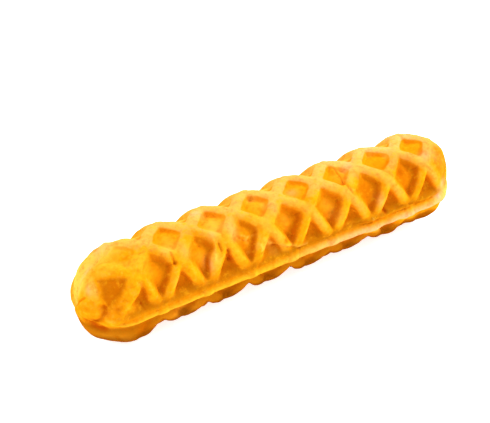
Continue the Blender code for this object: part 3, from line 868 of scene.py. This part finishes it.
class Value:
    """A shader socket. Used in an expression, it adds the Math node that the expression needs."""

    def __init__(self, shader, socket):
        self.shader = shader
        self.socket = socket

    def _math(self, operation, *inputs):
        settings = {"operation": operation}
        return self.shader.node("ShaderNodeMath", settings, dict(enumerate(inputs)))

    def __add__(self, other):
        return self._math("ADD", self, other)

    def __sub__(self, other):
        return self._math("SUBTRACT", self, other)

    def __rsub__(self, other):
        return self._math("SUBTRACT", other, self)

    def __mul__(self, other):
        return self._math("MULTIPLY", self, other)

    __radd__ = __add__
    __rmul__ = __mul__


class Shader:
    """A material's nodes."""

    def __init__(self, name):
        self.material = bpy.data.materials.new(name)
        self.material.use_nodes = True
        self.tree = self.material.node_tree
        self.surface = self.tree.nodes["Principled BSDF"]

    def node(self, kind, settings=None, inputs=None, output=0):
        """Adds a node with its settings, then the values or links of its sockets."""
        node = self.tree.nodes.new(kind)
        for name, value in (settings or {}).items():
            setattr(node, name, value)
        self.connect(node, inputs or {})
        return Value(self, node.outputs[output])

    def connect(self, node, inputs):
        for name, value in inputs.items():
            if isinstance(value, Value):
                self.tree.links.new(value.socket, node.inputs[name])
            else:
                node.inputs[name].default_value = value

    def attribute(self, name):
        return self.node("ShaderNodeAttribute", {"attribute_name": name}, output="Fac")

    def place(self):
        return self.node("ShaderNodeTexCoord", output="Object")

    def along(self, axis):
        return self.node("ShaderNodeSeparateXYZ", {}, {0: self.place()}, output=axis)

    def noise(self, scale, detail, roughness):
        return self.node("ShaderNodeTexNoise", {}, {
            "Vector": self.place(),
            "Scale": scale,
            "Detail": detail,
            "Roughness": roughness,
        })

    def band(self, value, low, high):
        """Zero below low, one above high, and smooth between."""
        return self.node(
            "ShaderNodeMapRange",
            {"interpolation_type": "SMOOTHSTEP"},
            {"Value": value, "From Min": low, "From Max": high, "To Min": 0.0, "To Max": 1.0},
        )

    def mix(self, amount, start, end):
        """A colour between start and end."""
        return self.node(
            "ShaderNodeMix", {"data_type": "RGBA"}, {0: amount, 6: start, 7: end}, output=2
        )

    def cover(self, color, mark, top):
        """A colour with another over it where a mark of the mesh says so."""
        return self.mix(COVER[mark] * self.attribute(mark), color, top)


RIB_PALE_AND_HIGHLIGHT = (0.97, 0.50, 0.16, 1.0)
RIB_CREAM_AND_HIGHLIGHT = (0.97, 0.42, 0.07, 1.0)
RIB_GOLD = (0.96, 0.35, 0.004, 1.0)
FAR_LIT_GOLD = (0.97, 0.51, 0.045, 1.0)
CREAM_AND_HIGHLIGHT = (0.97, 0.53, 0.36, 1.0)
PIT_AMBER_AND_SIDE_SHADE = (0.93, 0.30, 0.003, 1.0)
FADED_AMBER = (0.86, 0.17, 0.006, 1.0)
# Brown of the painted shade on the pits' walls and floors, and of the crumbs and speckles.
SHADE_AND_CRUMB_BROWN = (0.52, 0.125, 0.001, 1.0)
# Painted shade of the lower half: its lighter places, ribs, pits and bottom.
UNDER_SHADE_AMBER = (0.72, 0.235, 0.006, 1.0)
UNDER_SHADE_GOLD = (0.42, 0.124, 0.002, 1.0)
UNDER_SHADE_BROWN = (0.50, 0.118, 0.0008, 1.0)
BOTTOM_SHADE = (0.14, 0.025, 0.0003, 1.0)
LIP_GOLD = (0.89, 0.47, 0.02, 1.0)
# The lip's cream, partly painted highlight.
LIP_CREAM_AND_HIGHLIGHT = (0.97, 0.48, 0.20, 1.0)
# Brown of the browner places, much of it painted shade, and pale of the paler places and pale
# speckles, partly painted highlight.
BROWN_AND_SHADE = (0.57, 0.135, 0.001, 1.0)
PALE_CRUMB_AND_HIGHLIGHT = (0.97, 0.54, 0.07, 1.0)
CRUMB_YELLOW = (0.97, 0.44, 0.01, 1.0)
SCAR_SHADE = (0.46, 0.065, 0.0008, 1.0)
SHELF_SHADE = (0.38, 0.125, 0.002, 1.0)

# How much of what is under it each mark's colour covers. Of these marks, low, shade, shelf and
# scar are painted shade, crest and far painted highlight and light, and cream partly highlight.
COVER = {
    "crest": 0.55,
    "far": 0.8,
    "cream": 1.0,
    "faded": 0.95,
    "low": 0.7,
    "shade": 0.95,
    "shelf": 0.75,
    "scar": 0.9,
}
# The lip's colour covers so much, the lower half's painted shade so much, and the amber mottle so
# much.
LIP_COVER, UNDER_COVER, AMBER_MOTTLE_COVER = 0.9, 0.95, 0.5
PALE_SPECKLE_COVER, BROWN_SPECKLE_COVER, BROWN_CRUMB_COVER = 0.2, 0.2, 0.4
# Yellow crumbs cover less on the lower half, and the painted shade at the bottom covers less in
# its pits, whose painted shade is darker than its ribs' by this much.
YELLOW_CRUMB_COVER, YELLOW_CRUMB_LESS = 0.4, 0.35
BOTTOM_COVER, BOTTOM_LESS = 0.85, 0.5
UNDER_PIT_SHADE = 0.6

# The crust's noise: scale, detail and roughness.
MOTTLE = (230.0, 3.0, 0.6)
CRUMB = (420.0, 4.0, 0.7)
SPECKLE = (700.0, 2.0, 0.6)
GRAIN = (1400.0, 2.0, 0.6)
NOISE_MIDDLE = 0.5
# Values of the noise between which its colours come in.
AMBER_MOTTLE, BROWN_CRUMBS, YELLOW_CRUMBS = (0.48, 0.72), (0.50, 0.70), (0.52, 0.70)
PALE_SPECKLES, BROWN_SPECKLES = (0.50, 0.68), (0.52, 0.70)
# The same for the pits' amber, in whose edge the mottle shows this much.
PIT_EDGE, PIT_EDGE_MOTTLE = (0.03, 0.30), 0.3

# Heights between which gold ribs turn to cream and cream to pale, which fall by so much of the way
# towards the right end and towards the far side, and how far the mottle and the crumb shift them.
# The paler tops are partly the crust's own colour and partly painted highlight where light falls.
CREAM_HEIGHTS, PALE_HEIGHTS = (0.0285, 0.0323), (0.0332, 0.0360)
CREAM_LEAN_X, CREAM_LEAN_Y = 0.035, 0.45
CREAM_MOTTLE, CREAM_CRUMB = 0.008, 0.006
LIP_TURNS_CREAM = (-0.010, 0.035)   # x over which the lip turns from gold

GRAIN_STRENGTH, GRAIN_DEPTH = 0.5, 0.0003
ROUGHNESS, ROUGHNESS_MOTTLE = 0.6, 0.15

FLOOR_GREY, FLOOR_WHITE = (0.90, 0.90, 0.89, 1.0), (0.93, 0.93, 0.92, 1.0)
FLOOR_MOTTLE = (6.0, 2.0, 0.5)
FLOOR_ROUGHNESS = 0.8
FLOOR_GLOW, FLOOR_GLOW_STRENGTH = (1.0, 1.0, 1.0, 1.0), 0.7


def rib_colors(shader, mottle, crumb):
    """Gold ribs, which turn to cream and then pale towards the crown.

    The paler tops are partly the crust's own colour and partly painted highlight; the cream on the
    crests is painted highlight.
    """
    x, y, z = (shader.along(axis) for axis in "XYZ")
    height = z + CREAM_LEAN_X * x + CREAM_LEAN_Y * y
    height += CREAM_MOTTLE * (mottle - NOISE_MIDDLE)
    height += CREAM_CRUMB * (crumb - NOISE_MIDDLE)
    color = shader.mix(shader.band(height, *CREAM_HEIGHTS), RIB_GOLD, RIB_CREAM_AND_HIGHLIGHT)
    color = shader.mix(shader.band(height, *PALE_HEIGHTS), color, RIB_PALE_AND_HIGHLIGHT)
    # Painted highlight along the crests.
    return shader.cover(color, "crest", RIB_CREAM_AND_HIGHLIGHT)


def pit_colors(shader, color, pit, mottle, speckle):
    """Amber pits and speckled ribs.

    The far side's pits are painted lighter where light falls, and walls and floors get painted
    shade.
    """
    edge = pit + (mottle - NOISE_MIDDLE) * PIT_EDGE_MOTTLE
    color = shader.mix(AMBER_MOTTLE_COVER * shader.band(mottle, *AMBER_MOTTLE), color, PIT_AMBER_AND_SIDE_SHADE)
    color = shader.mix(shader.band(edge, *PIT_EDGE), color, PIT_AMBER_AND_SIDE_SHADE)
    color = shader.cover(color, "far", FAR_LIT_GOLD)
    color = shader.cover(color, "cream", CREAM_AND_HIGHLIGHT)
    color = shader.cover(color, "faded", FADED_AMBER)
    speckles = PALE_SPECKLE_COVER * (1.0 - pit) * shader.band(1.0 - speckle, *PALE_SPECKLES)
    color = shader.mix(speckles, color, PALE_CRUMB_AND_HIGHLIGHT)
    # Painted shade on the pits' floors, then on their walls.
    color = shader.cover(color, "low", SHADE_AND_CRUMB_BROWN)
    return shader.cover(color, "shade", SHADE_AND_CRUMB_BROWN)


def lip_colors(shader, color, tone):
    """The lip, the band above it, and the browner and paler places of the upper half.

    The lip is partly painted highlight, the band above it painted shade, and some of the places
    painted shade and highlight too.
    """
    lip_color = shader.mix(shader.band(shader.along("X"), *LIP_TURNS_CREAM), LIP_GOLD, LIP_CREAM_AND_HIGHLIGHT)
    color = shader.mix(LIP_COVER * shader.attribute("lip"), color, lip_color)
    color = shader.cover(color, "shelf", SHELF_SHADE)
    color = shader.mix(tone, color, BROWN_AND_SHADE)
    return shader.mix(-1.0 * tone, color, PALE_CRUMB_AND_HIGHLIGHT)


def under_shade_colors(shader, pit, tone):
    """Painted shade of the lower half, darker in its pits and darkest at the bottom."""
    color = shader.mix(UNDER_PIT_SHADE * pit + tone, UNDER_SHADE_GOLD, UNDER_SHADE_BROWN)
    color = shader.mix(-1.0 * tone, color, UNDER_SHADE_AMBER)
    dark = (BOTTOM_COVER - BOTTOM_LESS * pit) * shader.attribute("bottom_shade")
    return shader.mix(dark, color, BOTTOM_SHADE)


def crumb_colors(shader, color, under, crumb, speckle):
    """Brown and yellow crumbs, brown speckles, and painted shade in the cracks."""
    color = shader.mix(BROWN_CRUMB_COVER * shader.band(crumb, *BROWN_CRUMBS), color, SHADE_AND_CRUMB_BROWN)
    yellow = YELLOW_CRUMB_COVER - YELLOW_CRUMB_LESS * under
    color = shader.mix(yellow * shader.band(1.0 - crumb, *YELLOW_CRUMBS), color, CRUMB_YELLOW)
    speckles = BROWN_SPECKLE_COVER * shader.band(speckle, *BROWN_SPECKLES)
    color = shader.mix(speckles, color, SHADE_AND_CRUMB_BROWN)
    return shader.cover(color, "scar", SCAR_SHADE)


def baked_crust():
    """Golden matt crust: cream ribs, amber pits, crumbs and fine grain.

    It carries painted shade on the pits' walls, the band above the lip and the lower half, and
    painted highlight on crests, tops and edges.
    """
    shader = Shader("baked_crust")
    mottle, crumb, speckle, grain = (
        shader.noise(*kind) for kind in (MOTTLE, CRUMB, SPECKLE, GRAIN)
    )
    pit, tone, under = (shader.attribute(name) for name in ("pit", "tone", "under"))
    color = rib_colors(shader, mottle, crumb)
    color = pit_colors(shader, color, pit, mottle, speckle)
    color = lip_colors(shader, color, tone)
    # The lower half's painted shade covers the crust's colours.
    color = shader.mix(UNDER_COVER * under, color, under_shade_colors(shader, pit, tone))
    color = crumb_colors(shader, color, under, crumb, speckle)
    shader.connect(shader.surface, {
        "Base Color": color,
        "Roughness": ROUGHNESS + ROUGHNESS_MOTTLE * mottle,
        "Specular IOR Level": 0.0,
        "Normal": shader.node(
            "ShaderNodeBump",
            {},
            {"Strength": GRAIN_STRENGTH, "Distance": GRAIN_DEPTH, "Height": grain},
        ),
    })
    return shader.material


def pale_floor():
    shader = Shader("pale_floor")
    shader.connect(shader.surface, {
        "Base Color": shader.mix(shader.noise(*FLOOR_MOTTLE), FLOOR_GREY, FLOOR_WHITE),
        "Roughness": FLOOR_ROUGHNESS,
        "Emission Color": FLOOR_GLOW,
        "Emission Strength": FLOOR_GLOW_STRENGTH,
    })
    return shader.material


# --------------------------------------------------
# The scene.


def add_object(name, data):
    thing = bpy.data.objects.new(name, data)
    bpy.context.scene.collection.objects.link(thing)
    return thing


def make_stick():
    mesh = Crust().mesh()
    mesh.materials.append(baked_crust())
    stick = add_object("baked_stick", mesh)
    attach(stick, "root")
    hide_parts(NODE)


def make_floor():
    mesh = bpy.data.meshes.new("floor")
    reach = FLOOR_REACH
    corners = ((-reach, -reach), (reach, -reach), (reach, reach), (-reach, reach))
    mesh.from_pydata([(x, y, 0.0) for x, y in corners], [], [(0, 1, 2, 3)])
    mesh.materials.append(pale_floor())
    add_object("floor", mesh)


def make_camera():
    azimuth, elevation, roll = (
        math.radians(angle) for angle in (CAMERA_AZIMUTH, CAMERA_ELEVATION, CAMERA_ROLL)
    )
    back = Vector((
        math.sin(azimuth) * math.cos(elevation),
        -math.cos(azimuth) * math.cos(elevation),
        math.sin(elevation),
    ))
    level = Vector((math.cos(azimuth), math.sin(azimuth), 0.0))
    upright = back.cross(level)
    right = level * math.cos(roll) + upright * math.sin(roll)
    up = upright * math.cos(roll) - level * math.sin(roll)
    place = (Vector((*CAMERA_AIM, PARTING_HEIGHT)) + back * CAMERA_DISTANCE) * MM
    data = bpy.data.cameras.new("camera")
    data.sensor_width = SENSOR
    data.lens = FOCAL_PIXELS / IMAGE_WIDTH * SENSOR
    data.clip_start = CLIP_START
    camera = add_object("camera", data)
    turn = Matrix((right, up, back)).transposed().to_4x4()
    camera.matrix_world = Matrix.Translation(place) @ turn
    bpy.context.scene.camera = camera


def make_lamp(name, place, side, power):
    """A soft square lamp, aimed at the middle of the floor."""
    data = bpy.data.lights.new(name, "AREA")
    data.shape = "SQUARE"
    data.size = side
    data.energy = power
    lamp = add_object(name, data)
    lamp.location = place
    lamp.rotation_euler = (-Vector(place)).to_track_quat("-Z", "Y").to_euler()


def make_light():
    world = bpy.data.worlds.new("studio")
    bpy.context.scene.world = world
    world.use_nodes = True
    sky = world.node_tree.nodes["Background"]
    sky.inputs["Color"].default_value = SKY
    sky.inputs["Strength"].default_value = SKY_STRENGTH
    for name, lamp in LAMPS.items():
        make_lamp(name, *lamp)


def main():
    make_stick()
    make_floor()
    make_camera()
    make_light()
    bpy.context.scene.view_settings.view_transform = "Standard"


main()
